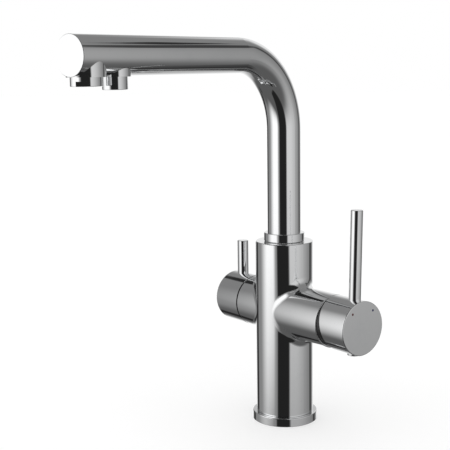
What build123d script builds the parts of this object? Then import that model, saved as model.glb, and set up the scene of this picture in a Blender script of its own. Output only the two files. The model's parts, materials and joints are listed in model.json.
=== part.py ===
from build123d import *
from math import cos, radians, sin, sqrt
import os

os.makedirs("parts", exist_ok=True)

# ---------------------------------------------------------------- driving dimensions, mm and degrees
# Fits and small standard details
running = 0.05
free = 0.3
edge_round = 0.7
edge_break = 0.4
fine_break = 0.25
key_radius = 1.25
key_depth = 3.0

# Column, standing on the worktop at z = 0
body_radius = 25.0
body_top = 160.0
base_ring_radius = 28.5
base_ring_height = 7.5
recess_radius = 21.0
recess_roof = 58.0

# Side barrels: the mixer points to +X, the filter valve to -X
barrel_height = 100.0
barrel_radius = 22.5
blend_radius = 8.0
mixer_barrel_end = 64.5
filter_barrel_end = 39.4

# Spout: straight up, one bend, then level, swung away from straight ahead (-Y)
tube_radius = 14.5
tube_wall = 1.2
tube_bore = tube_radius - tube_wall
spout_height = 318.5
bend_radius = 62.0
spout_reach = 237.0
spout_swing = 12.3
collar_radius = tube_radius + 3.2
collar_top = body_top + 7.5

# Outlets under the tip: places measured back from the tip, heights below the spout's centre line
outlet_gap = 1.2
aerator_boss_radius = tube_radius - 0.6
aerator_reach = spout_reach - aerator_boss_radius - 0.6
aerator_radius = 11.3
aerator_bottom = spout_height - 20.9
aerator_flats = 20.8
flat_height = 3.4
flat_turn = 31.0
nozzle_boss_radius = 11.6
nozzle_reach = aerator_reach - aerator_boss_radius - outlet_gap - nozzle_boss_radius
nozzle_radius = 9.2
nozzle_bottom = spout_height - 23.7
boss_drop = 0.1

# Mixer cap, lever and their ball joint
cap_gap = 0.7
mixer_cap_start = mixer_barrel_end + cap_gap
mixer_cap_end = mixer_cap_start + 31.3
mixer_cap_slant = 11.5
dome_radius = barrel_radius - 1.1
pivot_x = mixer_barrel_end - 0.5
stem_arm = 13.0
flow_tilt = 20.0
mixer_lever_x = mixer_cap_end - 9.9
mixer_lever_top = barrel_radius + 73.5
mixer_lever_rake = 1.4
lever_pin_radius = 5.0

# Filter valve cap and lever, measured from the column's axis towards -X
filter_cap_start = filter_barrel_end + cap_gap
filter_cap_end = filter_cap_start + 29.9
filter_cap_wall = 2.0
filter_lever_u = filter_cap_end - 11.8
filter_lever_top = barrel_radius + 30.2

# Cartridge stack along the mixer barrel
cartridge_seat = pivot_x - 31.0
cartridge_length = 24.0
cartridge_end = cartridge_seat + cartridge_length
cartridge_radius = 17.4
cartridge_wall = 1.5
nut_radius = cartridge_radius + 1.1
nut_length = 5.0
skirt_radius = barrel_radius - 2.45
skirt_length = 3.3
base_plate = 4.0
disc_thickness = 3.0
fixed_disc_radius = cartridge_radius - 2.9
mixing_disc_radius = 10.5
carrier_plate = 3.6
tongue_width = 12.0
tongue_height = 11.0
turret_flange = 7.2
turret_neck_radius = 11.2
turret_neck_end = pivot_x + 5.0
stem_slot_width = 8.0
stem_slot_height = 13.0
pivot_pin_radius = 1.5
port_radius = 2.8
inlet_port = (7.5, 3.5)
mixed_port = (0.0, -9.0)
mixed_x = 11.0

# Filter valve stack along the filter barrel
filter_seat = filter_barrel_end - 17.9
headwork_thread = 10.5
headwork_floor = filter_barrel_end - 8.0
headwork_pocket = barrel_radius - 5.0
headwork_hex = 24.0
headwork_end = filter_barrel_end + 6.6
filter_disc_radius = 8.0
spindle_radius = 5.0
spindle_end = filter_cap_end - 9.0
filter_port = 4.5
filter_port_radius = 2.4

# Spout socket in the top of the column
nipple_radius = tube_radius + 0.5
socket_radius = nipple_radius + 0.5
socket_floor = body_top - 30.0
nipple_bottom = socket_floor + 2.0
spigot_radius = 5.0
spigot_bottom = socket_floor - 10.0
spigot_end_gap = 1.5
tube_seat = body_top + 3.2
hose_radius = 4.0
hose_wall = 1.0
hose_drop_radius = 7.0
hose_socket_depth = 5.0
glide_depth = 1.5
glide_radius = collar_radius - 0.7
locking_height = body_top - 10.7
locking_thread = 2.5

# Screwed connections in the underside
hose_thread = 4.5
hose_thread_depth = 12.0
stud_thread = 3.4
stud_thread_depth = 14.0
inlet_spread = (4.0, 9.5)
filter_inlet_x = -11.5
channel_radius = 3.0

# ---------------------------------------------------------------- planes and helpers
swing = radians(spout_swing)
spout_way = Vector(sin(swing), -cos(swing), 0)
spout_side = Vector(cos(swing), sin(swing), 0)
barrel_axis = Axis((0, 0, barrel_height), (1, 0, 0))
barrel_section = Plane(origin=(0, 0, barrel_height), x_dir=(1, 0, 0), z_dir=(0, -1, 0))
pivot_plane = Plane(origin=(pivot_x, 0, barrel_height), x_dir=(1, 0, 0), z_dir=(0, 1, 0))
on_base = (Align.CENTER, Align.CENTER, Align.MIN)


def deck(height):
    return Plane.XY.offset(height)


def mixer_plane(x):
    # looks out along the mixer barrel, sketch up is +Z
    return Plane(origin=(x, 0, barrel_height), x_dir=(0, 1, 0), z_dir=(1, 0, 0))


def filter_plane(u):
    # looks out along the filter barrel, sketch up is +Z
    return Plane(origin=(-u, 0, barrel_height), x_dir=(0, -1, 0), z_dir=(-1, 0, 0))


def tube_plane(reach):
    # looks out along the level leg of the spout
    return Plane(origin=spout_way * reach + Vector(0, 0, spout_height), x_dir=spout_side, z_dir=spout_way)


def outlet_plane(reach, height):
    # level plane under the spout's tip, sketch x along the spout
    return Plane(origin=spout_way * reach + Vector(0, 0, height), x_dir=spout_way, z_dir=(0, 0, 1))


def bar(plane, radius, length, mode=Mode.ADD):
    with Locations(plane):
        Cylinder(radius, length, align=on_base, mode=mode)


def collar(plane, outer, inner, length):
    bar(plane, outer, length)
    bar(plane, inner, length, Mode.SUBTRACT)


def block(plane, width, height, length, mode=Mode.ADD):
    with Locations(plane):
        Box(width, height, length, align=on_base, mode=mode)


def spout_run(radius, start, reach, mode=Mode.ADD):
    # a solid along the spout's centre line, from the height start to the reach
    bend_start = spout_height - bend_radius
    bend_axis = Axis(spout_way * bend_radius + Vector(0, 0, bend_start), spout_side)
    bar(deck(start), radius, bend_start - start, mode)
    with BuildSketch(deck(bend_start)) as section:
        Circle(radius)
    revolve(section.sketch, axis=bend_axis, revolution_arc=90, mode=mode)
    bar(tube_plane(bend_radius), radius, reach - bend_radius, mode)


def finish(builder, name):
    builder.part.label = name
    export_step(builder.part, f"parts/{name}.step")


# ---------------------------------------------------------------- column and base
foot = 2.0
seal_height = 1.6
seal_outer = 27.6
seal_inner = 25.2

with BuildPart() as valve_body:
    bar(deck(foot), body_radius, body_top - foot)
    bar(mixer_plane(-filter_barrel_end), barrel_radius, filter_barrel_end + mixer_barrel_end)
    saddles = valve_body.edges().filter_by(GeomType.CIRCLE, reverse=True)
    fillet(saddles.filter_by(GeomType.LINE, reverse=True), blend_radius)
    rims = valve_body.edges().filter_by(GeomType.CIRCLE).filter_by(lambda e: e.center().Z > foot + 1)
    rims = rims.filter_by(lambda e: abs(e.radius - body_radius) < 0.01 or abs(e.radius - barrel_radius) < 0.01)
    fillet(rims, edge_round)
    # spout socket and the seat of the glide ring
    bar(deck(socket_floor), socket_radius, body_top - socket_floor, Mode.SUBTRACT)
    bar(deck(body_top - glide_depth), glide_radius, glide_depth, Mode.SUBTRACT)
    bar(deck(spigot_bottom - spigot_end_gap), spigot_radius + running, socket_floor, Mode.SUBTRACT)
    with Locations(Plane(origin=(0, 0, locking_height), x_dir=(1, 0, 0), z_dir=(0, 1, 0))):
        Cylinder(locking_thread, body_radius + 1, align=on_base, mode=Mode.SUBTRACT)
    # mixer chamber, nut thread and dome seat
    bar(mixer_plane(cartridge_seat), cartridge_radius + running, mixer_barrel_end, Mode.SUBTRACT)
    bar(mixer_plane(cartridge_end), nut_radius, mixer_barrel_end, Mode.SUBTRACT)
    bar(mixer_plane(mixer_barrel_end - skirt_length - 0.2), skirt_radius, mixer_barrel_end, Mode.SUBTRACT)
    # filter valve bore and the pocket round its hexagon
    bar(filter_plane(filter_seat), headwork_thread, filter_barrel_end, Mode.SUBTRACT)
    bar(filter_plane(headwork_floor), headwork_pocket, filter_barrel_end, Mode.SUBTRACT)
    # underside: recess, hose threads and stud hole
    bar(deck(0), recess_radius, recess_roof, Mode.SUBTRACT)
    inlet_rise = barrel_height + inlet_port[1] - recess_roof
    filter_rise = barrel_height - filter_port - recess_roof
    for y in (-inlet_spread[1], inlet_spread[1]):
        with Locations((inlet_spread[0], y, recess_roof)):
            Cylinder(hose_thread, hose_thread_depth, align=on_base, mode=Mode.SUBTRACT)
            Cylinder(channel_radius, inlet_rise, align=on_base, mode=Mode.SUBTRACT)
    with Locations((filter_inlet_x, 0, recess_roof)):
        Cylinder(hose_thread, hose_thread_depth, align=on_base, mode=Mode.SUBTRACT)
        Cylinder(channel_radius, filter_rise, align=on_base, mode=Mode.SUBTRACT)
    bar(deck(recess_roof), stud_thread, stud_thread_depth, Mode.SUBTRACT)
    # hot and cold ports, then the mixed water channel up to the socket
    with Locations(mixer_plane(inlet_spread[0])):
        with Locations((-inlet_port[0], inlet_port[1]), (inlet_port[0], inlet_port[1])):
            Cylinder(port_radius, cartridge_seat - inlet_spread[0] + 1, align=on_base, mode=Mode.SUBTRACT)
    with Locations(mixer_plane(mixed_x)):
        with Locations(mixed_port):
            Cylinder(port_radius, cartridge_seat - mixed_x + 1, align=on_base, mode=Mode.SUBTRACT)
    mixed_floor = barrel_height + mixed_port[1]
    with Locations((mixed_x, 0, mixed_floor)):
        Cylinder(channel_radius, socket_floor - mixed_floor, align=on_base, mode=Mode.SUBTRACT)
    # filtered water: in below the seat's centre, out above it, up the middle of the column
    with Locations(filter_plane(-filter_inlet_x)):
        with Locations((0, -filter_port)):
            Cylinder(filter_port_radius, filter_seat + filter_inlet_x + 1, align=on_base, mode=Mode.SUBTRACT)
    with Locations(filter_plane(0)):
        with Locations((0, filter_port)):
            Cylinder(filter_port_radius, filter_seat + 1, align=on_base, mode=Mode.SUBTRACT)
    bar(deck(barrel_height + filter_port), channel_radius, spigot_bottom - barrel_height, Mode.SUBTRACT)
finish(valve_body, "valve_body")

with BuildPart() as base_ring:
    bar(deck(0), base_ring_radius, base_ring_height)
    fillet(base_ring.edges().group_by(Axis.Z)[-1], edge_round)
    chamfer(base_ring.edges().group_by(Axis.Z)[0], fine_break)
    bar(deck(0), recess_radius + 1, base_ring_height, Mode.SUBTRACT)
    bar(deck(foot), body_radius, base_ring_height, Mode.SUBTRACT)
    # a fine groove shows between the ring's top and the column
    with BuildSketch(deck(base_ring_height - edge_break)):
        Circle(body_radius + edge_break)
    extrude(amount=edge_break, mode=Mode.SUBTRACT)
    with BuildSketch(deck(0)):
        Circle(seal_outer)
        Circle(seal_inner, mode=Mode.SUBTRACT)
    extrude(amount=seal_height, mode=Mode.SUBTRACT)
finish(base_ring, "base_ring")

with BuildPart() as base_seal:
    collar(deck(0), seal_outer, seal_inner, seal_height)
finish(base_seal, "base_seal")

# ---------------------------------------------------------------- spout and what turns with it
nipple_bore = nipple_radius - 3.0
web_top = socket_floor + 9.0
hose_start = web_top - hose_socket_depth
bush_length = 4.0
bush_heights = (socket_floor + 3.4, body_top - 2.6 - bush_length)
bush_groove = nipple_radius - 1.2
ring_width = 2.6
ring_heights = (web_top + 0.2, web_top + 4.0)
ring_groove = nipple_radius - 1.6
ring_round = 0.9
locking_groove = nipple_radius - 1.4
locking_width = 4.0
locking_dog_radius = 1.6
locking_dog_length = 2.4
locking_sunk = 1.0
spigot_ring_height = spigot_bottom + 4.0
spigot_ring_width = 2.0
spigot_groove = spigot_radius - 1.1
waterway_radius = 2.3
waterway_ring = (spigot_radius + nipple_bore + 0.2) / 2
waterways = 6

with BuildPart() as glide_ring:
    collar(deck(body_top - glide_depth), glide_radius - 2 * running, nipple_radius + free, glide_depth + 0.2)
finish(glide_ring, "glide_ring")

with BuildPart() as spout_locking_screw:
    screw_tip = Plane(origin=(0, locking_groove + running, locking_height), x_dir=(1, 0, 0), z_dir=(0, 1, 0))
    screw_length = body_radius - locking_groove - locking_sunk
    bar(screw_tip, locking_dog_radius, screw_length - key_depth)
    bar(screw_tip.offset(locking_dog_length), locking_thread, screw_length - locking_dog_length)
    with BuildSketch(screw_tip.offset(screw_length - key_depth)):
        RegularPolygon(key_radius, 6, major_radius=False)
    extrude(amount=key_depth, mode=Mode.SUBTRACT)
finish(spout_locking_screw, "spout_locking_screw")

with BuildPart() as spout_nipple:
    bar(deck(nipple_bottom), nipple_radius, tube_seat - nipple_bottom)
    bar(deck(web_top), nipple_bore, tube_seat, Mode.SUBTRACT)
    grooves = [(z, bush_groove, bush_length) for z in bush_heights]
    grooves += [(z, ring_groove, ring_width) for z in ring_heights]
    grooves += [(locking_height - locking_width / 2, locking_groove, locking_width)]
    for z, radius, width in grooves:
        with BuildSketch(deck(z)):
            Circle(nipple_radius + 1)
            Circle(radius, mode=Mode.SUBTRACT)
        extrude(amount=width, mode=Mode.SUBTRACT)
    bar(deck(spigot_bottom), spigot_radius, nipple_bottom - spigot_bottom)
    with BuildSketch(deck(spigot_ring_height)):
        Circle(spigot_radius + 1)
        Circle(spigot_groove, mode=Mode.SUBTRACT)
    extrude(amount=spigot_ring_width, mode=Mode.SUBTRACT)
    bar(deck(spigot_bottom), hose_radius - hose_wall, web_top, Mode.SUBTRACT)
    bar(deck(hose_start), hose_radius, web_top, Mode.SUBTRACT)
    with Locations(deck(nipple_bottom)):
        with PolarLocations(waterway_ring, waterways):
            Cylinder(waterway_radius, web_top, align=on_base, mode=Mode.SUBTRACT)
finish(spout_nipple, "spout_nipple")

with BuildPart() as nipple_bushes:
    for z in bush_heights:
        with BuildSketch(deck(z)):
            Circle(socket_radius - running)
            Circle(bush_groove, mode=Mode.SUBTRACT)
        extrude(amount=bush_length)
finish(nipple_bushes, "nipple_bushes")

with BuildPart() as nipple_o_rings:
    for z in ring_heights:
        with BuildSketch(deck(z)):
            Circle(socket_radius - running)
            Circle(ring_groove, mode=Mode.SUBTRACT)
        extrude(amount=ring_width)
    outer_edges = nipple_o_rings.edges().filter_by(GeomType.CIRCLE).filter_by(lambda e: e.radius > nipple_radius)
    fillet(outer_edges, ring_round)
finish(nipple_o_rings, "nipple_o_rings")

with BuildPart() as spigot_o_ring:
    collar(deck(spigot_ring_height), spigot_radius, spigot_groove, spigot_ring_width)
finish(spigot_o_ring, "spigot_o_ring")

with BuildPart() as spout_collar:
    collar_bottom = body_top + free
    bar(deck(collar_bottom), collar_radius, collar_top - collar_bottom)
    fillet(spout_collar.edges().group_by(Axis.Z)[-1], edge_round)
    chamfer(spout_collar.edges().group_by(Axis.Z)[0], edge_break)
    bar(deck(collar_bottom), nipple_radius, tube_seat - collar_bottom, Mode.SUBTRACT)
    bar(deck(tube_seat), tube_radius, collar_top, Mode.SUBTRACT)
finish(spout_collar, "spout_collar")

boss_bottom = spout_height - tube_radius - boss_drop
aerator_thread = aerator_radius - 1.2
nozzle_thread = nozzle_radius - 1.1
aerator_neck_radius = aerator_thread + 1.6
aerator_neck_top = spout_height - sqrt(tube_bore ** 2 - aerator_neck_radius ** 2)
aerator_waterway = aerator_thread - 2.8
aerator_mouth = aerator_thread - 1.7
nozzle_neck_radius = nozzle_thread + 1.6
nozzle_neck_top = spout_height - hose_drop_radius
nozzle_mouth = nozzle_thread - 2.0
end_plate = 2.5
lip = 1.0
housing_wall = 1.1
thread_length = 4.0
washer_thickness = 1.0
washer_top = boss_bottom + thread_length + washer_thickness
insert_wall = 1.2
grid_thickness = 1.6
grid_cells = 5
cell_radius = 0.95
cell_pitch = 2.45
jet_ring = 3.2
jet_radius = 1.0

with BuildPart() as spout_tube:
    spout_run(tube_radius, tube_seat, spout_reach - end_plate)
    spout_run(tube_bore, tube_seat, spout_reach, Mode.SUBTRACT)
    bar(outlet_plane(aerator_reach, boss_bottom), aerator_neck_radius, tube_radius, Mode.SUBTRACT)
    bar(outlet_plane(nozzle_reach, boss_bottom), nozzle_neck_radius, tube_radius, Mode.SUBTRACT)
finish(spout_tube, "spout_tube")

with BuildPart() as spout_end_cap:
    bar(tube_plane(spout_reach - end_plate), tube_radius, end_plate)
    chamfer(spout_end_cap.edges().sort_by(Axis(tube_plane(0).origin, spout_way))[-1], fine_break)
finish(spout_end_cap, "spout_end_cap")

with BuildPart() as filtered_water_hose:
    for radius, mode in ((hose_radius, Mode.ADD), (hose_radius - hose_wall, Mode.SUBTRACT)):
        drop_start = nozzle_reach - hose_drop_radius
        spout_run(radius, hose_start, drop_start, mode)
        drop_axis = Axis(tube_plane(drop_start).origin - Vector(0, 0, hose_drop_radius), spout_side)
        with BuildSketch(tube_plane(drop_start)) as hose_section:
            Circle(radius)
        revolve(hose_section.sketch, axis=drop_axis, revolution_arc=90, mode=mode)
        bar(outlet_plane(nozzle_reach, washer_top), radius, spout_height - hose_drop_radius - washer_top, mode)
finish(filtered_water_hose, "filtered_water_hose")


def outlet_boss(reach, radius, neck_radius, neck_top, bore, waterway):
    # a short stub that saddles under the tube, its neck let in through the tube's wall
    with BuildPart() as boss:
        bar(outlet_plane(reach, boss_bottom), radius, spout_height - boss_bottom)
        bar(tube_plane(reach - 2 * radius), tube_radius, 4 * radius, Mode.SUBTRACT)
        bar(outlet_plane(reach, boss_bottom), neck_radius, neck_top - boss_bottom)
        bar(outlet_plane(reach, boss_bottom), bore, washer_top - boss_bottom, Mode.SUBTRACT)
        bar(outlet_plane(reach, boss_bottom), waterway, spout_height - boss_bottom, Mode.SUBTRACT)
    return boss


def outlet_housing(reach, radius, bottom, thread, mouth, flats=0.0):
    # the ring that screws into a boss and holds the insert against its washer, with or without spanner flats
    with BuildPart() as housing:
        bar(outlet_plane(reach, bottom), radius, boss_bottom - bottom)
        fillet(housing.edges().group_by(Axis.Z)[0], edge_break)
        bar(outlet_plane(reach, boss_bottom), thread, thread_length)
        bar(outlet_plane(reach, bottom), mouth, spout_height, Mode.SUBTRACT)
        bar(outlet_plane(reach, bottom + lip), thread - housing_wall, spout_height, Mode.SUBTRACT)
        if flats:
            with Locations(outlet_plane(reach, bottom)):
                with PolarLocations(radius + flats / 2, 2, start_angle=flat_turn):
                    Box(2 * radius, 4 * radius, 2 * flat_height, mode=Mode.SUBTRACT)
    return housing


aerator_boss = outlet_boss(aerator_reach, aerator_boss_radius, aerator_neck_radius, aerator_neck_top,
                           aerator_thread, aerator_waterway)
finish(aerator_boss, "aerator_boss")
nozzle_boss = outlet_boss(nozzle_reach, nozzle_boss_radius, nozzle_neck_radius, nozzle_neck_top,
                          nozzle_thread, hose_radius)
finish(nozzle_boss, "nozzle_boss")

aerator_housing = outlet_housing(aerator_reach, aerator_radius, aerator_bottom, aerator_thread, aerator_mouth,
                                 aerator_flats)
finish(aerator_housing, "aerator_housing")
nozzle_housing = outlet_housing(nozzle_reach, nozzle_radius, nozzle_bottom, nozzle_thread, nozzle_mouth)
finish(nozzle_housing, "nozzle_housing")

def outlet_sleeve(reach, bottom, thread):
    # the sleeve of an insert, from the housing's lip up to the washer
    start = outlet_plane(reach, bottom + lip)
    radius = thread - housing_wall
    collar(start, radius, radius - insert_wall, boss_bottom + thread_length - bottom - lip)


with BuildPart() as aerator_insert:
    outlet_sleeve(aerator_reach, aerator_bottom, aerator_thread)
    with BuildSketch(outlet_plane(aerator_reach, aerator_bottom + lip)):
        Circle(aerator_thread - housing_wall - insert_wall / 2)
        with HexLocations(cell_pitch / 2, grid_cells, grid_cells):
            RegularPolygon(cell_radius, 6, mode=Mode.SUBTRACT)
    extrude(amount=grid_thickness)
finish(aerator_insert, "aerator_insert")

with BuildPart() as nozzle_insert:
    outlet_sleeve(nozzle_reach, nozzle_bottom, nozzle_thread)
    with BuildSketch(outlet_plane(nozzle_reach, nozzle_bottom + lip)):
        Circle(nozzle_thread - housing_wall - insert_wall / 2)
        with PolarLocations(jet_ring, 6):
            Circle(jet_radius, mode=Mode.SUBTRACT)
        Circle(jet_radius, mode=Mode.SUBTRACT)
    extrude(amount=grid_thickness)
finish(nozzle_insert, "nozzle_insert")

with BuildPart() as aerator_washer:
    washer_bottom = washer_top - washer_thickness
    collar(outlet_plane(aerator_reach, washer_bottom), aerator_thread, aerator_waterway, washer_thickness)
finish(aerator_washer, "aerator_washer")

with BuildPart() as nozzle_washer:
    collar(outlet_plane(nozzle_reach, washer_bottom), nozzle_thread, hose_radius - hose_wall, washer_thickness)
finish(nozzle_washer, "nozzle_washer")

# ---------------------------------------------------------------- mixer cartridge, fixed pieces
fixed_disc_x = cartridge_seat + base_plate
mixing_disc_x = fixed_disc_x + disc_thickness + running
carrier_x = mixing_disc_x + disc_thickness
flange_x = carrier_x + carrier_plate + free
flange_end = flange_x + turret_flange
tilt_travel = stem_arm * radians(flow_tilt)
ports = [(-inlet_port[0], inlet_port[1]), inlet_port, mixed_port]
port_seal_radius = port_radius + 1.7
port_seal_depth = 1.4
nut_bore = turret_neck_radius + 1.4
nut_slot_width = 4.0
nut_slot_depth = 2.0
turret_ring_x = cartridge_end - 2.2
turret_ring_width = 1.6
turret_ring_depth = 1.0

with BuildPart() as cartridge_base:
    bar(mixer_plane(cartridge_seat), cartridge_radius, base_plate)
    with Locations(mixer_plane(cartridge_seat)):
        with Locations(*ports):
            Cylinder(port_radius, base_plate, align=on_base, mode=Mode.SUBTRACT)
            Cylinder(port_seal_radius, port_seal_depth, align=on_base, mode=Mode.SUBTRACT)
finish(cartridge_base, "cartridge_base")

with BuildPart() as cartridge_port_seals:
    with BuildSketch(mixer_plane(cartridge_seat)):
        with Locations(*ports):
            Circle(port_seal_radius)
            Circle(port_radius, mode=Mode.SUBTRACT)
    extrude(amount=port_seal_depth)
finish(cartridge_port_seals, "cartridge_port_seals")

with BuildPart() as fixed_mixing_disc:
    bar(mixer_plane(fixed_disc_x), fixed_disc_radius, disc_thickness)
    with Locations(mixer_plane(fixed_disc_x)):
        with Locations(*ports):
            Cylinder(port_radius, disc_thickness, align=on_base, mode=Mode.SUBTRACT)
finish(fixed_mixing_disc, "fixed_mixing_disc")

with BuildPart() as cartridge_housing:
    housing_length = cartridge_end - fixed_disc_x
    front_wall = cartridge_end - flange_end - free
    bar(mixer_plane(fixed_disc_x), cartridge_radius, housing_length)
    bar(mixer_plane(fixed_disc_x), cartridge_radius - cartridge_wall, housing_length - front_wall, Mode.SUBTRACT)
    bar(mixer_plane(fixed_disc_x), turret_neck_radius + free, housing_length, Mode.SUBTRACT)
finish(cartridge_housing, "cartridge_housing")

with BuildPart() as cartridge_nut:
    collar(mixer_plane(cartridge_end), nut_radius, nut_bore, nut_length)
    slot_plane = mixer_plane(cartridge_end + nut_length - nut_slot_depth)
    block(slot_plane, 2 * nut_radius + 1, nut_slot_width, nut_slot_depth, Mode.SUBTRACT)
    block(slot_plane, nut_slot_width, 2 * nut_radius + 1, nut_slot_depth, Mode.SUBTRACT)
finish(cartridge_nut, "cartridge_nut")

# the ball-shaped cover: a shell round the lever's pivot with a mouth for the stem
dome_shell = 1.3
dome_mouth = dome_radius - 6.9
dome_inner = dome_radius - dome_shell
skirt_start = mixer_barrel_end - skirt_length
skirt_bore = nut_radius + 0.2


def ball_x(ball_radius, radius):
    # place along the barrel where a ball round the pivot has this radius
    return pivot_x + sqrt(ball_radius ** 2 - radius ** 2)


with BuildPart() as mixer_dome:
    dome_rim = sqrt(dome_radius ** 2 - (mixer_barrel_end - pivot_x) ** 2)
    outer_mouth = (ball_x(dome_radius, dome_mouth), dome_mouth)
    inner_mouth = (ball_x(dome_inner, dome_mouth), dome_mouth)
    inner_rim = (ball_x(dome_inner, skirt_bore), skirt_bore)
    with BuildSketch(barrel_section):
        with BuildLine():
            Polyline(inner_rim, (skirt_start, skirt_bore), (skirt_start, skirt_radius),
                     (mixer_barrel_end, skirt_radius), (mixer_barrel_end, dome_rim))
            RadiusArc((mixer_barrel_end, dome_rim), outer_mouth, dome_radius)
            Line(outer_mouth, inner_mouth)
            RadiusArc(inner_mouth, inner_rim, -dome_inner)
        make_face()
    revolve(axis=barrel_axis)
finish(mixer_dome, "mixer_dome")

# ---------------------------------------------------------------- mixer cartridge, moving pieces
mixing_hollow = -4.2
mixing_hollow_radius = 5.8
mixing_hollow_depth = 1.8
ball_radius = 2.9
pocket_radius = ball_radius + free
pocket_floor = pivot_x - stem_arm - pocket_radius

with BuildPart() as mixing_disc:
    bar(mixer_plane(mixing_disc_x), mixing_disc_radius, disc_thickness)
    with Locations(mixer_plane(mixing_disc_x)):
        with Locations((0, mixing_hollow)):
            Cylinder(mixing_hollow_radius, mixing_hollow_depth, align=on_base, mode=Mode.SUBTRACT)
finish(mixing_disc, "mixing_disc")

with BuildPart() as disc_carrier:
    bar(mixer_plane(carrier_x), mixing_disc_radius, carrier_plate)
    tongue_start = carrier_x + carrier_plate
    block(mixer_plane(tongue_start), tongue_width, tongue_height, flange_end - free - tongue_start)
    bar(mixer_plane(pocket_floor), pocket_radius, stem_arm, Mode.SUBTRACT)
finish(disc_carrier, "disc_carrier")

with BuildPart() as cartridge_turret:
    bar(mixer_plane(flange_x), cartridge_radius - cartridge_wall - free, turret_flange)
    bar(mixer_plane(flange_end), turret_neck_radius, turret_neck_end - flange_end)
    guide_height = tongue_height + tilt_travel + 2 * free
    with Locations(mixer_plane(flange_x)):
        with Locations((0, tilt_travel / 2)):
            Box(tongue_width + 2 * running, guide_height, turret_flange, align=on_base, mode=Mode.SUBTRACT)
    block(mixer_plane(flange_x), stem_slot_width, stem_slot_height, turret_neck_end, Mode.SUBTRACT)
    with BuildSketch(mixer_plane(turret_ring_x)):
        Circle(turret_neck_radius + 1)
        Circle(turret_neck_radius - turret_ring_depth, mode=Mode.SUBTRACT)
    extrude(amount=turret_ring_width, mode=Mode.SUBTRACT)
    with Locations(pivot_plane):
        Cylinder(pivot_pin_radius, 2 * turret_neck_radius, mode=Mode.SUBTRACT)
finish(cartridge_turret, "cartridge_turret")

with BuildPart() as turret_o_ring:
    collar(mixer_plane(turret_ring_x), turret_neck_radius + free - running,
           turret_neck_radius - turret_ring_depth, turret_ring_width)
finish(turret_o_ring, "turret_o_ring")

with BuildPart() as stem_pivot_pin:
    with Locations(pivot_plane):
        Cylinder(pivot_pin_radius, 2 * turret_neck_radius - 2 * edge_break)
finish(stem_pivot_pin, "stem_pivot_pin")

stem_neck_radius = 1.8
stem_barrel_radius = 3.6
stem_barrel_start = pivot_x - 6.0
stem_square_start = pivot_x + 7.0
stem_square = 7.0
stem_end = mixer_cap_end - 3.6

with BuildPart() as mixer_stem:
    # a ball that drives the disc carrier, a round barrel on the pivot pin, a square for the cap
    with Locations((pivot_x - stem_arm, 0, barrel_height)):
        Sphere(ball_radius)
    bar(mixer_plane(pivot_x - stem_arm), stem_neck_radius, stem_arm)
    bar(mixer_plane(stem_barrel_start), stem_barrel_radius, stem_square_start - stem_barrel_start)
    block(mixer_plane(stem_square_start), stem_square, stem_square, stem_end - stem_square_start)
    chamfer(mixer_stem.faces().sort_by(Axis.X)[-1].edges(), edge_break)
    with Locations(pivot_plane):
        Cylinder(pivot_pin_radius + running, 2 * stem_barrel_radius + 1, mode=Mode.SUBTRACT)
finish(mixer_stem, "mixer_stem")

# ---------------------------------------------------------------- mixer cap and lever
slant = radians(mixer_cap_slant)
rake = radians(mixer_lever_rake)
slant_plane = Plane(origin=(mixer_cap_start, 0, barrel_height + barrel_radius), z_dir=(cos(slant), 0, sin(slant)))
mixer_lever_plane = Plane(origin=(mixer_lever_x, 0, barrel_height), x_dir=(cos(rake), 0, -sin(rake)),
                          z_dir=(sin(rake), 0, cos(rake)))
filter_lever_plane = Plane(origin=(-filter_lever_u, 0, barrel_height), x_dir=(1, 0, 0), z_dir=(0, 0, 1))
lever_seat = barrel_radius - 5.5
lever_spigot = lever_seat - 5.0
spigot_thread = 3.0
grub_radius = 2.5
grub_length = 9.0
socket_gap = 0.4
mixer_plug_radius = 5.6
mixer_plug_proud = 1.2
filter_plug_radius = 3.0
filter_plug_proud = 0.5
plug_seat = 1.0
plug_shank = 3.0
dot_radius = 1.0
dot_ring = barrel_radius - 4.9
dot_angle = 40.0
dot_depth = 0.6


def lever_pin(plane, top):
    # a plain round pin, screwed into the cap by a thinner threaded spigot
    with BuildPart() as pin:
        bar(plane.offset(lever_seat), lever_pin_radius, top - lever_seat)
        fillet(pin.edges().group_by(Axis.Z)[-1], edge_round)
        bar(plane.offset(lever_spigot), spigot_thread, lever_seat - lever_spigot)
    return pin


def grub_screw(plane, reach):
    # hexagon socket set screw that bears on the spindle or stem from below
    with BuildPart() as screw:
        bar(plane.offset(-reach - grub_length), grub_radius, grub_length)
        with BuildSketch(plane.offset(-reach - grub_length)):
            RegularPolygon(key_radius, 6, major_radius=False)
        extrude(amount=key_depth, mode=Mode.SUBTRACT)
    return screw


def screw_plug(plane, radius, proud):
    # press-in button over the grub screw's hole, standing just proud of the cap
    with BuildPart() as plug:
        bar(plane.offset(-barrel_radius - proud), radius, proud + plug_seat)
        fillet(plug.edges().group_by(Axis.Z)[0], edge_break)
        bar(plane.offset(-barrel_radius + plug_seat), grub_radius, plug_shank)
    return plug


def lever_holes(pin_plane, screw_plane, plug_radius):
    # the pin's seat and thread above, the grub screw's hole and the plug's seat below
    bar(pin_plane.offset(lever_seat), lever_pin_radius, barrel_radius, Mode.SUBTRACT)
    bar(pin_plane.offset(lever_spigot), spigot_thread, barrel_radius, Mode.SUBTRACT)
    bar(screw_plane.offset(-barrel_radius - 1), grub_radius, barrel_radius + 1, Mode.SUBTRACT)
    bar(screw_plane.offset(-barrel_radius - 1), plug_radius, 1 + plug_seat, Mode.SUBTRACT)


mixer_screw_plane = Plane(origin=(mixer_lever_x, 0, barrel_height), x_dir=(1, 0, 0), z_dir=(0, 0, 1))

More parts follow.
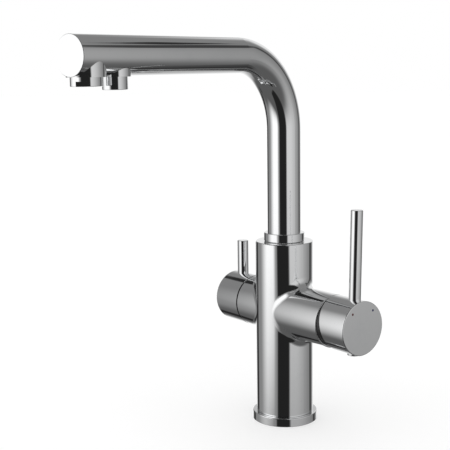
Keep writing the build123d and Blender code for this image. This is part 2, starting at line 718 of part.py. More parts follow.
with BuildPart() as mixer_cap:
    bar(mixer_plane(mixer_cap_start), barrel_radius, mixer_cap_end - mixer_cap_start)
    fillet(mixer_cap.edges().sort_by(Axis.X)[-1], edge_round)
    split(bisect_by=slant_plane, keep=Keep.TOP)
    lever_holes(mixer_lever_plane, mixer_screw_plane, mixer_plug_radius)
    block(mixer_plane(pivot_x), stem_square, stem_square, stem_end + socket_gap - pivot_x, Mode.SUBTRACT)
    with Locations(mixer_plane(pivot_x)):
        Sphere(dome_radius + free, mode=Mode.SUBTRACT)
    with Locations(mixer_plane(mixer_cap_end - dot_depth)):
        with PolarLocations(dot_ring, 2, start_angle=90 - dot_angle, angular_range=2 * dot_angle, endpoint=True):
            Cylinder(dot_radius, dot_depth, align=on_base, mode=Mode.SUBTRACT)
finish(mixer_cap, "mixer_cap")

finish(lever_pin(mixer_lever_plane, mixer_lever_top), "mixer_lever_pin")
finish(grub_screw(mixer_screw_plane, stem_square / 2), "mixer_grub_screw")
finish(screw_plug(mixer_screw_plane, mixer_plug_radius, mixer_plug_proud), "mixer_screw_plug")

for name, angle in (("hot_dot", 90 + dot_angle), ("cold_dot", 90 - dot_angle)):
    with BuildPart() as dot:
        with Locations(mixer_plane(mixer_cap_end - dot_depth)):
            with PolarLocations(dot_ring, 1, start_angle=angle):
                Cylinder(dot_radius, dot_depth, align=on_base)
    finish(dot, name)

# ---------------------------------------------------------------- filter valve
seat_seal_length = 1.5
seat_seal_wall = 1.2
fixed_u = filter_seat + seat_seal_length
moving_u = fixed_u + disc_thickness + running
moving_disc_thickness = 2.4
moving_slot_depth = 1.4
flange_u = moving_u + moving_disc_thickness
flange_thickness = 2.1
chamber_end = flange_u + flange_thickness + 0.2
hexagon_length = 6.0
neck_radius = 8.0
clip_u = headwork_end + 0.2
clip_thickness = 1.0
clip_radius = 7.0
clip_groove = 4.3
clip_mouth = 4.0
driver_radius = 4.0
spindle_rings = (headwork_floor + 2.6, headwork_floor + 7.1)
spindle_ring_width = 1.8

with BuildPart() as filter_seat_seal:
    collar(filter_plane(filter_seat), filter_disc_radius, filter_disc_radius - seat_seal_wall, seat_seal_length)
finish(filter_seat_seal, "filter_seat_seal")

with BuildPart() as filter_fixed_disc:
    bar(filter_plane(fixed_u), filter_disc_radius, disc_thickness)
    with Locations(filter_plane(fixed_u)):
        with Locations((0, filter_port), (0, -filter_port)):
            Cylinder(filter_port_radius, disc_thickness, align=on_base, mode=Mode.SUBTRACT)
finish(filter_fixed_disc, "filter_fixed_disc")

with BuildPart() as filter_headwork:
    bar(filter_plane(fixed_u), headwork_thread, headwork_floor - fixed_u)
    with BuildSketch(filter_plane(headwork_floor)):
        RegularPolygon(headwork_hex / 2, 6, major_radius=False)
    extrude(amount=hexagon_length)
    bar(filter_plane(headwork_floor), neck_radius, headwork_end - headwork_floor)
    bar(filter_plane(fixed_u), filter_disc_radius + running, chamber_end - fixed_u, Mode.SUBTRACT)
    bar(filter_plane(fixed_u), spindle_radius + running, headwork_end, Mode.SUBTRACT)
finish(filter_headwork, "filter_headwork")

with BuildPart() as filter_moving_disc:
    bar(filter_plane(moving_u), filter_disc_radius, flange_u - moving_u)
    with BuildSketch(filter_plane(moving_u)):
        SlotCenterToCenter(2 * filter_port, 2 * filter_port_radius)
    extrude(amount=moving_slot_depth, mode=Mode.SUBTRACT)
finish(filter_moving_disc, "filter_moving_disc")

with BuildPart() as filter_spindle:
    bar(filter_plane(flange_u), filter_disc_radius, flange_thickness)
    bar(filter_plane(flange_u), spindle_radius, clip_u + 2 * clip_thickness - flange_u)
    bar(filter_plane(flange_u), driver_radius, spindle_end - flange_u)
    chamfer(filter_spindle.edges().group_by(Axis.X)[0], edge_break)
    grooves = [(u, driver_radius, spindle_ring_width) for u in spindle_rings]
    grooves += [(clip_u, clip_groove, clip_thickness)]
    for u, radius, width in grooves:
        with BuildSketch(filter_plane(u)):
            Circle(spindle_radius + 1)
            Circle(radius, mode=Mode.SUBTRACT)
        extrude(amount=width, mode=Mode.SUBTRACT)
finish(filter_spindle, "filter_spindle")

with BuildPart() as spindle_o_rings:
    for u in spindle_rings:
        with BuildSketch(filter_plane(u)):
            Circle(spindle_radius)
            Circle(driver_radius, mode=Mode.SUBTRACT)
        extrude(amount=spindle_ring_width)
finish(spindle_o_rings, "spindle_o_rings")

with BuildPart() as spindle_clip:
    collar(filter_plane(clip_u), clip_radius, clip_groove, clip_thickness)
    with Locations(filter_plane(clip_u)):
        with Locations((0, -clip_radius)):
            Box(clip_mouth, clip_radius, clip_mouth, mode=Mode.SUBTRACT)
finish(spindle_clip, "spindle_clip")

filter_cap_end_wall = 4.0
web_width = 13.0
web_start = headwork_end + 5.0

with BuildPart() as filter_cap:
    bar(filter_plane(filter_cap_start), barrel_radius, filter_cap_end - filter_cap_start)
    fillet(filter_cap.edges().sort_by(Axis.X)[0], edge_round)
    chamfer(filter_cap.edges().sort_by(Axis.X)[-1], edge_break)
    bar(filter_plane(filter_cap_start), barrel_radius - filter_cap_wall,
        filter_cap_end - filter_cap_end_wall - filter_cap_start, Mode.SUBTRACT)
    # web across the cavity that carries the pin, the spindle's socket and the grub screw
    with BuildSketch(filter_plane(web_start)):
        Circle(barrel_radius - filter_cap_wall)
        Rectangle(web_width, 2 * barrel_radius, mode=Mode.INTERSECT)
    extrude(amount=filter_cap_end - filter_cap_end_wall - web_start)
    bar(filter_plane(web_start), driver_radius, spindle_end + socket_gap - web_start, Mode.SUBTRACT)
    lever_holes(filter_lever_plane, filter_lever_plane, filter_plug_radius)
finish(filter_cap, "filter_cap")

finish(lever_pin(filter_lever_plane, filter_lever_top), "filter_lever_pin")
finish(grub_screw(filter_lever_plane, driver_radius), "filter_grub_screw")
finish(screw_plug(filter_lever_plane, filter_plug_radius, filter_plug_proud), "filter_screw_plug")
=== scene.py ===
import json
import math

import bpy
from mathutils import Matrix, Vector

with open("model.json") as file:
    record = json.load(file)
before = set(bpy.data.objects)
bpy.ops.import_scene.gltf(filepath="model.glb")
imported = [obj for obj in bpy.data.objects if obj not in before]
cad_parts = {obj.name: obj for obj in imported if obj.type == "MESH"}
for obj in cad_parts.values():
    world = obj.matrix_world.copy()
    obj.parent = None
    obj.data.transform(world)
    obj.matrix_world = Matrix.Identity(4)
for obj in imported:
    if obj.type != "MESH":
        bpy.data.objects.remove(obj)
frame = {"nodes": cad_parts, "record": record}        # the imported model, with each node's place in its mesh
scene = bpy.context.scene
nodes = frame["nodes"]
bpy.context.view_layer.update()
print("frame loaded,", len(nodes), "nodes")

# the camera stands at the photo's viewing angle; angles are in radians
cameraView = {
    "place": Vector((0.65106, -0.55845, 0.30809)),
    "turn": 0.0600,      # to the left of the column's axis
    "down": 0.1552,
    "roll": -0.0140,
    "lens": 79.72,
    "sensor": 36,
}


def addCamera(view):
    heading = math.atan2(-view["place"].y, -view["place"].x) + view["turn"]
    level = math.cos(view["down"])
    look = Vector((math.cos(heading) * level, math.sin(heading) * level,
                   -math.sin(view["down"])))
    side = look.cross(Vector((0, 0, 1))).normalized()
    up = side.cross(look)
    right = side * math.cos(view["roll"]) + up * math.sin(view["roll"])
    top = up * math.cos(view["roll"]) - side * math.sin(view["roll"])
    bpy.ops.object.camera_add()
    camera = bpy.context.object
    camera.data.lens = view["lens"]
    camera.data.sensor_width = view["sensor"]
    turned = Matrix((right, top, -look)).transposed().to_4x4()
    camera.matrix_world = Matrix.Translation(view["place"]) @ turned
    scene.camera = camera


addCamera(cameraView)
scene.view_settings.view_transform = "Standard"
print("camera set")


# helpers that the studio and the finishes share
def setOrLink(tree, socket, value):
    if isinstance(value, (int, float)):
        socket.default_value = value
    else:
        tree.links.new(value, socket)


def newGroup(name, inputs, outputs):
    # inputs are (label, kind, value), outputs (label, kind)
    group = bpy.data.node_groups.new(name, "ShaderNodeTree")
    for label, kind, value in inputs:
        socket = group.interface.new_socket(
            label, in_out="INPUT", socket_type="NodeSocket" + kind)
        if value is not None:
            socket.default_value = value
    for label, kind in outputs:
        group.interface.new_socket(label, in_out="OUTPUT", socket_type="NodeSocket" + kind)
    return group, group.nodes.new("NodeGroupInput"), group.nodes.new("NodeGroupOutput")


def placeGroup(tree, group, label):
    node = tree.nodes.new("ShaderNodeGroup")
    node.node_tree = group
    node.label = label
    return node


def addMath(tree, operation, *values):
    node = tree.nodes.new("ShaderNodeMath")
    node.operation = operation
    for index, value in enumerate(values):
        setOrLink(tree, node.inputs[index], value)
    return node.outputs[0]


def addVectorMath(tree, operation, *values):
    node = tree.nodes.new("ShaderNodeVectorMath")
    node.operation = operation
    for index, value in enumerate(values):
        tree.links.new(value, node.inputs[index])
    return node


def addRamp(tree, value, span, ends=(0.0, 1.0)):
    # a soft step from the first end to the second while the value crosses the span
    node = tree.nodes.new("ShaderNodeMapRange")
    node.interpolation_type = "SMOOTHSTEP"
    tree.links.new(value, node.inputs["Value"])
    labels = ("From Min", "From Max", "To Min", "To Max")
    for label, number in zip(labels, (*span, *ends)):
        setOrLink(tree, node.inputs[label], number)
    return node.outputs[0]


def addNoise(tree, place, scale, detail, rough):
    node = tree.nodes.new("ShaderNodeTexNoise")
    tree.links.new(place, node.inputs["Vector"])
    setOrLink(tree, node.inputs["Scale"], scale)
    node.inputs["Detail"].default_value = detail
    node.inputs["Roughness"].default_value = rough
    return node.outputs[0]


def addMixShader(tree, mask, under, over):
    mix = tree.nodes.new("ShaderNodeMixShader")
    for index, socket in enumerate((mask, under, over)):
        tree.links.new(socket, mix.inputs[index])
    return mix.outputs[0]


# the studio is a soft room of panels that the chrome mirrors, each laid over those above it
# azimuth is in degrees round the column, 0 is +X and -90 out over the sink
# height is in degrees above the horizon, and level 1 is white
# a range is (start of the soft edge, full, full, end of the soft edge)
studioPanels = {
    "rightWall": {"azimuth": (-100, -12, 0, 86), "height": (-34, -4, 14, 60), "level": 0.64},
    "farPost": {"azimuth": (76, 82, 91, 98), "height": (-60, -30, -9, 2), "level": 0.05},
    "windowSill": {"azimuth": (92, 106, 140, 162), "height": (-52, -42, -28, -14), "level": 0.42},
    "backWindow": {"azimuth": (99, 127, 150, 168), "height": (-44, -16, -2, 34), "level": 1.06},
    "windowHead": {"azimuth": (98, 118, 132, 139), "height": (-6, 4, 24, 40), "level": 0.80},
    "keySpill": {"azimuth": (-178, -158, -136, -118), "height": (-38, -22, -10, 6), "level": 0.24},
    "cameraSide": {"azimuth": (-76, -65, -45, -30), "height": (-78, -60, 60, 75), "level": 0.016},
    "westPost": {"azimuth": (167, 173, 184, 191), "height": (-40, -22, 14, 30), "level": 0.025},
    "upperRail": {"azimuth": (60, 68, 80, 90), "height": (27, 30, 36, 40), "level": 0.05},
    "lampArm": {"azimuth": (79, 83, 93, 97), "height": (38.5, 40, 43.5, 45), "level": 0.03},
    "postTop": {"azimuth": (79, 83, 88, 93), "height": (-12, -2, 28, 34), "level": 0.07},
    "lowerRail": {"azimuth": (85, 91, 95, 101), "height": (-50, -44, -35, -32), "level": 0.03},
    "upperRailWest": {"azimuth": (166, 171, 183, 188), "height": (37, 39, 41, 43), "level": 0.02},
    "lowerRailWest": {"azimuth": (170, 174, 184, 188), "height": (-43, -41, -39, -37),
                      "level": 0.02},
}
# the bare room behind the panels is darker towards the floor
roomShade = {"heights": (-42, -12), "levels": (0.10, 0.22)}
rangeParts = ("Start", "Low", "High", "End")


def makePanelGroup():
    labels = ["Azimuth", "Height", "Centre", "Level", "Behind"]
    labels += [side + part for side in ("Width ", "Height ") for part in rangeParts]
    group, inner, outer = newGroup(
        "softPanel", [(label, "Float", 0.0) for label in labels], [("Level", "Float")])
    values = inner.outputs
    away = addMath(group, "SUBTRACT", values["Azimuth"], values["Centre"])
    turn = addMath(group, "WRAP", away, 180, -180)
    masks = []
    for side, place in (("Width ", turn), ("Height ", values["Height"])):
        start, low, high, end = (values[side + part] for part in rangeParts)
        rise = addRamp(group, place, (start, low))
        fall = addRamp(group, place, (high, end), (1.0, 0.0))
        masks.append(addMath(group, "MULTIPLY", rise, fall))
    mask = addMath(group, "MULTIPLY", *masks)
    step = addMath(group, "SUBTRACT", values["Level"], values["Behind"])
    level = addMath(group, "MULTIPLY_ADD", mask, step, values["Behind"])
    group.links.new(level, outer.inputs["Level"])
    return group


def addPanel(tree, group, name, panel, azimuth, height, behind):
    node = placeGroup(tree, group, name)
    centre = (panel["azimuth"][0] + panel["azimuth"][3]) / 2
    for label, value in (("Azimuth", azimuth), ("Height", height), ("Centre", centre),
                         ("Level", panel["level"]), ("Behind", behind)):
        setOrLink(tree, node.inputs[label], value)
    for index, part in enumerate(rangeParts):
        node.inputs["Width " + part].default_value = panel["azimuth"][index] - centre
        node.inputs["Height " + part].default_value = panel["height"][index]
    return node.outputs["Level"]


def makeStudio():
    world = bpy.data.worlds.new("studio")
    scene.world = world
    world.use_nodes = True
    tree = world.node_tree
    tree.nodes.clear()
    axes = tree.nodes.new("ShaderNodeSeparateXYZ")
    tree.links.new(tree.nodes.new("ShaderNodeTexCoord").outputs["Generated"], axes.inputs[0])
    turn = addMath(tree, "ARCTAN2", axes.outputs["Y"], axes.outputs["X"])
    azimuth = addMath(tree, "DEGREES", turn)
    height = addMath(tree, "DEGREES", addMath(tree, "ARCSINE", axes.outputs["Z"]))
    group = makePanelGroup()
    level = addRamp(tree, height, roomShade["heights"], roomShade["levels"])
    for name, panel in studioPanels.items():
        level = addPanel(tree, group, name, panel, azimuth, height, level)
    room = tree.nodes.new("ShaderNodeBackground")
    tree.links.new(level, room.inputs["Color"])
    white = tree.nodes.new("ShaderNodeBackground")
    white.inputs["Color"].default_value = (1, 1, 1, 1)
    ray = tree.nodes.new("ShaderNodeLightPath").outputs
    backdrop = addMath(tree, "MAXIMUM", ray["Is Camera Ray"], ray["Is Transmission Ray"])
    mixed = addMixShader(tree, backdrop, room.outputs[0], white.outputs[0])
    tree.links.new(mixed, tree.nodes.new("ShaderNodeOutputWorld").inputs[0])


makeStudio()

# the key light and a dark card stand near the tap, so their reflections shift from part to part
# start and end are plan points; along, from the start, and height are ranges in metres
nearBoards = {
    "cameraCard": {"start": (0.66, -0.16), "end": (0.20, -0.62), "level": 0.016,
                   "along": (0.05, 0.165, 0.57, 0.64), "height": (-1.6, -1.2, 1.8, 2.2)},
    "keyBoard": {"start": (-0.50, -0.22), "end": (0.30, -1.00), "level": 1.08,
                 "along": (0.05, 0.44, 0.74, 1.06), "height": (-0.40, 0.12, 0.46, 0.72)},
}


def makeBoard(name, board):
    low, high = board["height"][0], board["height"][3]
    start, end = Vector(board["start"] + (low,)), Vector(board["end"] + (low,))
    wide, tall = (end - start).length, high - low
    middle = (start + end) / 2 + Vector((0, 0, tall / 2))
    heading = math.atan2(end.y - start.y, end.x - start.x)
    bpy.ops.object.select_all(action="DESELECT")
    bpy.ops.mesh.primitive_plane_add(size=1, location=middle, rotation=(math.pi / 2, 0, heading))
    card = bpy.context.object
    card.name = name
    card.scale = (wide, tall, 1)
    # only reflections see it
    for sight in ("camera", "diffuse", "transmission", "volume_scatter", "shadow"):
        setattr(card, "visible_" + sight, False)
    material = bpy.data.materials.new(name)
    material.use_nodes = True
    tree = material.node_tree
    tree.nodes.remove(tree.nodes["Principled BSDF"])
    axes = tree.nodes.new("ShaderNodeSeparateXYZ")
    tree.links.new(tree.nodes.new("ShaderNodeTexCoord").outputs["Object"], axes.inputs[0])
    ramps = []
    for axis, edges, centre, size in (("X", board["along"], wide / 2, wide),
                                      ("Y", board["height"], (low + high) / 2, tall)):
        softStart, fullStart, fullEnd, softEnd = ((edge - centre) / size for edge in edges)
        ramps.append(addRamp(tree, axes.outputs[axis], (softStart, fullStart)))
        ramps.append(addRamp(tree, axes.outputs[axis], (fullEnd, softEnd), (1.0, 0.0)))
    mask = ramps[0]
    for ramp in ramps[1:]:
        mask = addMath(tree, "MULTIPLY", mask, ramp)
    glow = tree.nodes.new("ShaderNodeEmission")
    glow.inputs["Strength"].default_value = board["level"]
    clear = tree.nodes.new("ShaderNodeBsdfTransparent")
    mixed = addMixShader(tree, mask, clear.outputs[0], glow.outputs[0])
    tree.links.new(mixed, tree.nodes["Material Output"].inputs[0])
    card.data.materials.append(material)


for name, board in nearBoards.items():
    makeBoard(name, board)

# one soft lamp from above, which the chrome doesn't mirror
softSun = {"from": (-0.06, -0.12, 1.0), "spread": 120, "strength": 2.2}


def addSun(sun):
    turned = Vector(sun["from"]).to_track_quat("Z", "Y").to_euler()
    bpy.ops.object.light_add(type="SUN", rotation=turned)
    light = bpy.context.object
    light.data.angle = math.radians(sun["spread"])
    light.data.energy = sun["strength"]
    light.visible_glossy = False


addSun(softSun)

# lift is what the camera sees on top of the floor's own light, so that it meets the white
floorPlate = {"reach": 12.0, "corners": 96, "colour": (0.52, 0.52, 0.52, 1),
              "roughness": 0.9, "lift": 0.53}


def makeFloor(floor):
    bpy.ops.mesh.primitive_circle_add(
        vertices=floor["corners"], radius=floor["reach"], fill_type="NGON")
    plate = bpy.context.object
    plate.name = "studioFloor"
    plate.visible_glossy = False        # the chrome mirrors the room all round instead
    material = bpy.data.materials.new("paleFloor")
    material.use_nodes = True
    tree = material.node_tree
    shader = tree.nodes["Principled BSDF"]
    shader.inputs["Base Color"].default_value = floor["colour"]
    shader.inputs["Roughness"].default_value = floor["roughness"]
    shader.inputs["Specular IOR Level"].default_value = 0.0
    glow = tree.nodes.new("ShaderNodeEmission")
    ray = tree.nodes.new("ShaderNodeLightPath").outputs
    lift = addMath(tree, "MULTIPLY", ray["Is Camera Ray"], floor["lift"])
    tree.links.new(lift, glow.inputs["Strength"])
    both = tree.nodes.new("ShaderNodeAddShader")
    tree.links.new(shader.outputs[0], both.inputs[0])
    tree.links.new(glow.outputs[0], both.inputs[1])
    tree.links.new(both.outputs[0], tree.nodes["Material Output"].inputs[0])
    plate.data.materials.append(material)


makeFloor(floorPlate)
print("studio lit")

# effects that several finishes share; Place is Object coordinates, so lengths are in metres
# a noise is (detail, roughness), and a ramp's span is (low, high)
edgeWearShape = {
    "samples": 4, "lean": (0.01, 0.16),        # how far the bevelled normal leans at an edge
    "noise": (4, 0.6), "chips": (0.38, 0.66), "least": 0.15,
}


def makeEdgeWear(shape):
    group, inner, outer = newGroup(
        "edgeWear",
        [("Place", "Vector", None), ("Radius", "Float", 0.0006), ("Breakup", "Float", 220.0)],
        [("Mask", "Float")])
    bevel = group.nodes.new("ShaderNodeBevel")
    bevel.samples = shape["samples"]
    group.links.new(inner.outputs["Radius"], bevel.inputs["Radius"])
    face = group.nodes.new("ShaderNodeNewGeometry").outputs["Normal"]
    dot = addVectorMath(group, "DOT_PRODUCT", bevel.outputs[0], face).outputs["Value"]
    edge = addRamp(group, addMath(group, "SUBTRACT", 1.0, dot), shape["lean"])
    chips = addNoise(group, inner.outputs["Place"], inner.outputs["Breakup"], *shape["noise"])
    broken = addRamp(group, chips, shape["chips"], (shape["least"], 1.0))
    group.links.new(addMath(group, "MULTIPLY", edge, broken), outer.inputs["Mask"])
    return group


handlingShape = {"broad": (4, 0.62), "fine": (3, 0.5), "finer": 9.0, "fineShare": 0.3}


def makeHandling(shape):
    # wiped film, scuffs and tarnish in broad patches with a fine grain in them
    group, inner, outer = newGroup(
        "handling",
        [("Place", "Vector", None), ("Scale", "Float", 30.0),
         ("Low", "Float", 0.42), ("High", "Float", 0.72)],
        [("Mask", "Float")])
    place, scale = inner.outputs["Place"], inner.outputs["Scale"]
    broad = addNoise(group, place, scale, *shape["broad"])
    fine = addNoise(group, place, addMath(group, "MULTIPLY", scale, shape["finer"]), *shape["fine"])
    swing = addMath(group, "SUBTRACT", fine, 0.5)
    both = addMath(group, "MULTIPLY_ADD", swing, shape["fineShare"], broad)
    mask = addRamp(group, both, (inner.outputs["Low"], inner.outputs["High"]))
    group.links.new(mask, outer.inputs["Mask"])
    return group


# inside is how much of a drop's middle stays; the rim lies between the two spans
driedDropShape = {"rimIn": (0.13, 0.20), "inside": 0.25, "rimOut": (0.22, 0.27)}


def makeDriedDrops(shape):
    group, inner, outer = newGroup(
        "driedDrops",
        [("Place", "Vector", None), ("Scale", "Float", 160.0), ("Share", "Float", 0.12)],
        [("Mask", "Float")])
    cells = group.nodes.new("ShaderNodeTexVoronoi")
    group.links.new(inner.outputs["Place"], cells.inputs["Vector"])
    group.links.new(inner.outputs["Scale"], cells.inputs["Scale"])
    away = cells.outputs["Distance"]
    rimIn = addRamp(group, away, shape["rimIn"], (shape["inside"], 1.0))
    rimOut = addRamp(group, away, shape["rimOut"], (1.0, 0.0))
    rim = addMath(group, "MULTIPLY", rimIn, rimOut)
    pick = group.nodes.new("ShaderNodeSeparateColor")
    group.links.new(cells.outputs["Color"], pick.inputs[0])
    kept = addMath(group, "LESS_THAN", pick.outputs[0], inner.outputs["Share"])
    group.links.new(addMath(group, "MULTIPLY", rim, kept), outer.inputs["Mask"])
    return group


fineLineShape = {
    "lines": (3, 0.55), "cut": (0.40, 0.65),
    "patchScale": 90.0, "patches": (2, 0.5), "patchSpan": (0.35, 0.70), "least": 0.4,
}


def makeFineLines(name, turned, shape):
    # polished or brushed along one way, or turned on a lathe round one axis
    group, inner, outer = newGroup(
        name,
        [("Place", "Vector", None), ("Stretch", "Vector", (40.0, 900.0, 900.0))],
        [("Height", "Float"), ("Mask", "Float")])
    place = inner.outputs["Place"]
    lines = addVectorMath(group, "MULTIPLY", place, inner.outputs["Stretch"]).outputs[0]
    if turned:
        joined = group.nodes.new("ShaderNodeCombineXYZ")
        length = addVectorMath(group, "LENGTH", lines).outputs["Value"]
        group.links.new(length, joined.inputs[0])
        lines = joined.outputs[0]
    height = addNoise(group, lines, 1.0, *shape["lines"])
    group.links.new(height, outer.inputs["Height"])
    patch = addNoise(group, place, shape["patchScale"], *shape["patches"])
    patch = addRamp(group, patch, shape["patchSpan"], (shape["least"], 1.0))
    mask = addMath(group, "MULTIPLY", addRamp(group, height, shape["cut"]), patch)
    group.links.new(mask, outer.inputs["Mask"])
    return group


mouldGrainShape = {
    "spark": (3, 0.6), "swirl": (3, 0.5), "swirlScale": 0.05, "swirlShare": 0.35,
    "swirlSpan": (0.38, 0.64),
}


def makeMouldGrain(shape):
    group, inner, outer = newGroup(
        "mouldGrain",
        [("Place", "Vector", None), ("Scale", "Float", 1500.0)],
        [("Height", "Float"), ("Mask", "Float")])
    place, scale = inner.outputs["Place"], inner.outputs["Scale"]
    spark = addNoise(group, place, scale, *shape["spark"])
    slow = addMath(group, "MULTIPLY", scale, shape["swirlScale"])
    swirl = addNoise(group, place, slow, *shape["swirl"])
    height = addMath(group, "MULTIPLY_ADD", swirl, shape["swirlShare"], spark)
    group.links.new(height, outer.inputs["Height"])
    group.links.new(addRamp(group, swirl, shape["swirlSpan"]), outer.inputs["Mask"])
    return group


effects = {
    "edgeWear": makeEdgeWear(edgeWearShape),
    "handling": makeHandling(handlingShape),
    "driedDrops": makeDriedDrops(driedDropShape),
    "polishLines": makeFineLines("polishLines", False, fineLineShape),
    "turnedLines": makeFineLines("turnedLines", True, fineLineShape),
    "mouldGrain": makeMouldGrain(mouldGrainShape),
}


# the finishes, one for each material slot of the record
def startFinish(look):
    material = bpy.data.materials.new(look["name"])
    material.use_nodes = True
    tree = material.node_tree
    tree.nodes["Principled BSDF"].inputs["Metallic"].default_value = look["metallic"]
    place = tree.nodes.new("ShaderNodeTexCoord").outputs["Object"]
    return material, tree, place


def addEffect(tree, name, place, values):
    node = placeGroup(tree, effects[name], name)
    tree.links.new(place, node.inputs["Place"])
    for label, value in values.items():
        node.inputs[label].default_value = value
    return node.outputs


def addBlend(tree, mask, share, under, over):
    mix = tree.nodes.new("ShaderNodeMix")
    mix.data_type = "RGBA"
    tree.links.new(addMath(tree, "MULTIPLY", mask, share), mix.inputs["Factor"])
    colours = {socket.name: socket for socket in mix.inputs if socket.type == "RGBA"}
    for label, value in (("A", under), ("B", over)):
        if isinstance(value, tuple):
            colours[label].default_value = value + (1,)
        else:
            tree.links.new(value, colours[label])
    return [socket for socket in mix.outputs if socket.type == "RGBA"][0]


def endFinish(tree, look, tints, roughs, bumps):
    # tints are (mask, share, colour), roughs (mask, what it adds) and bumps (height, depth)
    shader = tree.nodes["Principled BSDF"].inputs
    colour = look["colour"]
    for mask, share, over in tints:
        colour = addBlend(tree, mask, share, colour, over)
    tree.links.new(colour, shader["Base Color"])
    rough = look["roughness"]
    for mask, amount in roughs:
        rough = addMath(tree, "MULTIPLY_ADD", mask, amount, rough)
    tree.links.new(rough, shader["Roughness"])
    normal = None
    for height, depth in bumps:
        bump = tree.nodes.new("ShaderNodeBump")
        bump.inputs["Strength"].default_value = 1.0
        bump.inputs["Distance"].default_value = depth
        tree.links.new(height, bump.inputs["Height"])
        if normal is not None:
            tree.links.new(normal, bump.inputs["Normal"])
        normal = bump.outputs[0]
    tree.links.new(normal, shader["Normal"])


# in each look, tints say how far an effect changes the colour and roughs what it adds
chromeLook = {
    "name": "polishedChrome", "metallic": 1.0, "roughness": 0.028,
    "colour": (0.93, 0.935, 0.94), "film": (0.86, 0.87, 0.885), "edge": (0.80, 0.785, 0.76),
    "smudge": {"Scale": 28.0, "Low": 0.44, "High": 0.74},
    "drops": {"Scale": 170.0, "Share": 0.07},
    "lines": {"Stretch": (60.0, 60.0, 1800.0)},
    "wear": {"Radius": 0.0005, "Breakup": 260.0},
    "tints": {"smudge": 0.35, "drops": 0.4, "wear": 0.6},
    "roughs": {"smudge": 0.035, "drops": 0.05, "lines": 0.02, "wear": 0.10},
    "peel": {"scale": 55.0, "detail": 1.5, "rough": 0.4},       # the plating's slow waves
    "peelDepth": 0.000022, "lineDepth": 0.0000006,
}


def makeChrome(look):
    material, tree, place = startFinish(look)
    smudge = addEffect(tree, "handling", place, look["smudge"])["Mask"]
    drops = addEffect(tree, "driedDrops", place, look["drops"])["Mask"]
    lines = addEffect(tree, "polishLines", place, look["lines"])
    wear = addEffect(tree, "edgeWear", place, look["wear"])["Mask"]
    peel = addNoise(tree, place, **look["peel"])
    tints, roughs = look["tints"], look["roughs"]
    endFinish(tree, look,
              [(smudge, tints["smudge"], look["film"]), (drops, tints["drops"], look["film"]),
               (wear, tints["wear"], look["edge"])],
              [(smudge, roughs["smudge"]), (drops, roughs["drops"]),
               (lines["Mask"], roughs["lines"]), (wear, roughs["wear"])],
              [(peel, look["peelDepth"]), (lines["Height"], look["lineDepth"])])
    return material


turnedLooks = {
    "brass": {
        "name": "machinedBrass", "metallic": 1.0, "roughness": 0.24,
        "colour": (0.74, 0.56, 0.28), "film": (0.52, 0.35, 0.15), "edge": (0.90, 0.74, 0.45),
        "roughs": {"film": 0.22, "lines": 0.12},
        "effect": "turnedLines", "lines": {"Stretch": (2600.0, 2600.0, 2600.0)},
        "depth": 0.000006},
    "steel": {
        "name": "brushedSteel", "metallic": 1.0, "roughness": 0.26,
        "colour": (0.60, 0.61, 0.63), "film": (0.46, 0.465, 0.48), "edge": (0.78, 0.785, 0.80),
        "roughs": {"film": 0.12, "lines": 0.16},
        "effect": "polishLines", "lines": {"Stretch": (120.0, 2400.0, 2400.0)},
        "depth": 0.000004},
}
turnedShared = {
    "film": {"Scale": 70.0, "Low": 0.40, "High": 0.75},
    "wear": {"Radius": 0.0003, "Breakup": 500.0},
    "tints": {"film": 0.55, "lines": 0.25, "wear": 0.7},
}


def makeTurned(look):
    material, tree, place = startFinish(look)
    film = addEffect(tree, "handling", place, turnedShared["film"])["Mask"]
    lines = addEffect(tree, look["effect"], place, look["lines"])
    wear = addEffect(tree, "edgeWear", place, turnedShared["wear"])["Mask"]
    tints, roughs = turnedShared["tints"], look["roughs"]
    endFinish(tree, look,
              [(film, tints["film"], look["film"]), (lines["Mask"], tints["lines"], look["film"]),
               (wear, tints["wear"], look["edge"])],
              [(film, roughs["film"]), (lines["Mask"], roughs["lines"])],
              [(lines["Height"], look["depth"])])
    return material


ceramicLook = {
    "name": "lappedCeramic", "metallic": 0.0, "roughness": 0.16,
    "colour": (0.90, 0.90, 0.87), "fleck": (0.74, 0.73, 0.69),
    "grain": {"Scale": 2600.0},
    "flecks": {"scale": 1900.0, "detail": 2, "rough": 0.5}, "fleckSpan": (0.60, 0.72),
    "lapped": {"Stretch": (0.0, 5200.0, 5200.0)},
    "tints": {"flecks": 0.6, "grain": 0.12},
    "roughs": {"flecks": 0.2, "lapped": 0.08},
    "depth": 0.0000015,
}


def makeCeramic(look):
    material, tree, place = startFinish(look)
    grain = addEffect(tree, "mouldGrain", place, look["grain"])
    flecks = addRamp(tree, addNoise(tree, place, **look["flecks"]), look["fleckSpan"])
    lapped = addEffect(tree, "turnedLines", place, look["lapped"])
    tints, roughs = look["tints"], look["roughs"]
    endFinish(tree, look,
              [(flecks, tints["flecks"], look["fleck"]),
               (grain["Mask"], tints["grain"], look["fleck"])],
              [(flecks, roughs["flecks"]), (lapped["Mask"], roughs["lapped"])],
              [(grain["Height"], look["depth"]), (lapped["Height"], look["depth"])])
    return material


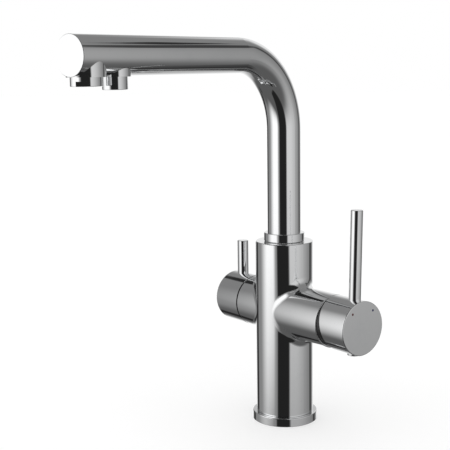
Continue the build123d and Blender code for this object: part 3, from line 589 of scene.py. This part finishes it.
# grain is the size of the mould's texture and scuff what rubbed patches add to the roughness
# sheen is the colour of the grain's swirls, and rub that of worn edges
mouldedLooks = {
    "white_plastic": {
        "name": "whiteAcetal", "metallic": 0.0, "roughness": 0.34, "scuff": 0.14,
        "colour": (0.86, 0.87, 0.86), "sheen": (0.78, 0.78, 0.75), "rub": (0.92, 0.92, 0.90),
        "grain": 1500.0, "depth": 0.000010},
    "grey_plastic": {
        "name": "greyPlastic", "metallic": 0.0, "roughness": 0.38, "scuff": 0.12,
        "colour": (0.62, 0.63, 0.64), "sheen": (0.53, 0.54, 0.55), "rub": (0.74, 0.75, 0.76),
        "grain": 1700.0, "depth": 0.000012},
    "dark_plastic": {
        "name": "blackGlossPlastic", "metallic": 0.0, "roughness": 0.07, "scuff": 0.09,
        "colour": (0.03, 0.03, 0.03), "sheen": (0.045, 0.045, 0.047), "rub": (0.09, 0.09, 0.09),
        "grain": 900.0, "depth": 0.0000015},
    "hose_plastic": {
        "name": "hosePolyethylene", "metallic": 0.0, "roughness": 0.42, "scuff": 0.12,
        "colour": (0.90, 0.91, 0.90), "sheen": (0.82, 0.84, 0.85), "rub": (0.95, 0.95, 0.94),
        "grain": 1100.0, "depth": 0.000009},
    "rubber": {
        "name": "blackRubber", "metallic": 0.0, "roughness": 0.62, "scuff": 0.2,
        "colour": (0.05, 0.05, 0.05), "sheen": (0.095, 0.092, 0.088), "rub": (0.14, 0.135, 0.13),
        "grain": 2200.0, "depth": 0.000020},
}
mouldedShared = {
    "scuff": {"Scale": 85.0, "Low": 0.46, "High": 0.74},
    "wear": {"Radius": 0.0003, "Breakup": 600.0},
    "tints": {"grain": 0.45, "wear": 0.6},
    "roughs": {"grain": 0.05, "wear": 0.08},
}


def makeMoulded(look):
    material, tree, place = startFinish(look)
    grain = addEffect(tree, "mouldGrain", place, {"Scale": look["grain"]})
    scuff = addEffect(tree, "handling", place, mouldedShared["scuff"])["Mask"]
    wear = addEffect(tree, "edgeWear", place, mouldedShared["wear"])["Mask"]
    tints, roughs = mouldedShared["tints"], mouldedShared["roughs"]
    endFinish(tree, look,
              [(grain["Mask"], tints["grain"], look["sheen"]), (wear, tints["wear"], look["rub"])],
              [(scuff, look["scuff"]), (grain["Mask"], roughs["grain"]), (wear, roughs["wear"])],
              [(grain["Height"], look["depth"])])
    return material


enamelLooks = {
    "hot_enamel": {"name": "redEnamel", "colour": (0.13, 0.008, 0.008),
                   "deep": (0.035, 0.002, 0.002)},
    "cold_enamel": {"name": "blueEnamel", "colour": (0.008, 0.016, 0.13),
                    "deep": (0.002, 0.004, 0.035)},
}
enamelShared = {
    "metallic": 0.0, "roughness": 0.14, "coat": 0.25, "coatRoughness": 0.06,
    "pool": {"Scale": 900.0, "Low": 0.35, "High": 0.70},
    "grain": {"Scale": 3200.0},
    "wear": {"Radius": 0.0002, "Breakup": 1500.0},
    "tints": {"pool": 0.9, "wear": 0.5},
    "roughs": {"pool": 0.08, "grain": 0.05},
    "depth": 0.000002,
}


def makeEnamel(look):
    material, tree, place = startFinish(look)
    pool = addEffect(tree, "handling", place, look["pool"])["Mask"]
    grain = addEffect(tree, "mouldGrain", place, look["grain"])
    wear = addEffect(tree, "edgeWear", place, look["wear"])["Mask"]
    tints, roughs = look["tints"], look["roughs"]
    endFinish(tree, look,
              [(pool, tints["pool"], look["deep"]), (wear, tints["wear"], look["deep"])],
              [(pool, roughs["pool"]), (grain["Mask"], roughs["grain"])],
              [(grain["Height"], look["depth"])])
    shader = tree.nodes["Principled BSDF"].inputs
    shader["Coat Weight"].default_value = look["coat"]
    shader["Coat Roughness"].default_value = look["coatRoughness"]
    return material


finishes = {"chrome": makeChrome(chromeLook), "ceramic": makeCeramic(ceramicLook)}
for slot, look in turnedLooks.items():
    finishes[slot] = makeTurned(look)
for slot, look in mouldedLooks.items():
    finishes[slot] = makeMoulded(look)
for slot, look in enamelLooks.items():
    finishes[slot] = makeEnamel({**enamelShared, **look})
print("finishes made,", len(finishes), "slots")

for row in frame["record"]["subparts"]:
    slots = nodes[row["node"]].data.materials
    slots.clear()
    slots.append(finishes[row["material_slot"]])
print("nodes finished")

print("all pieces made")
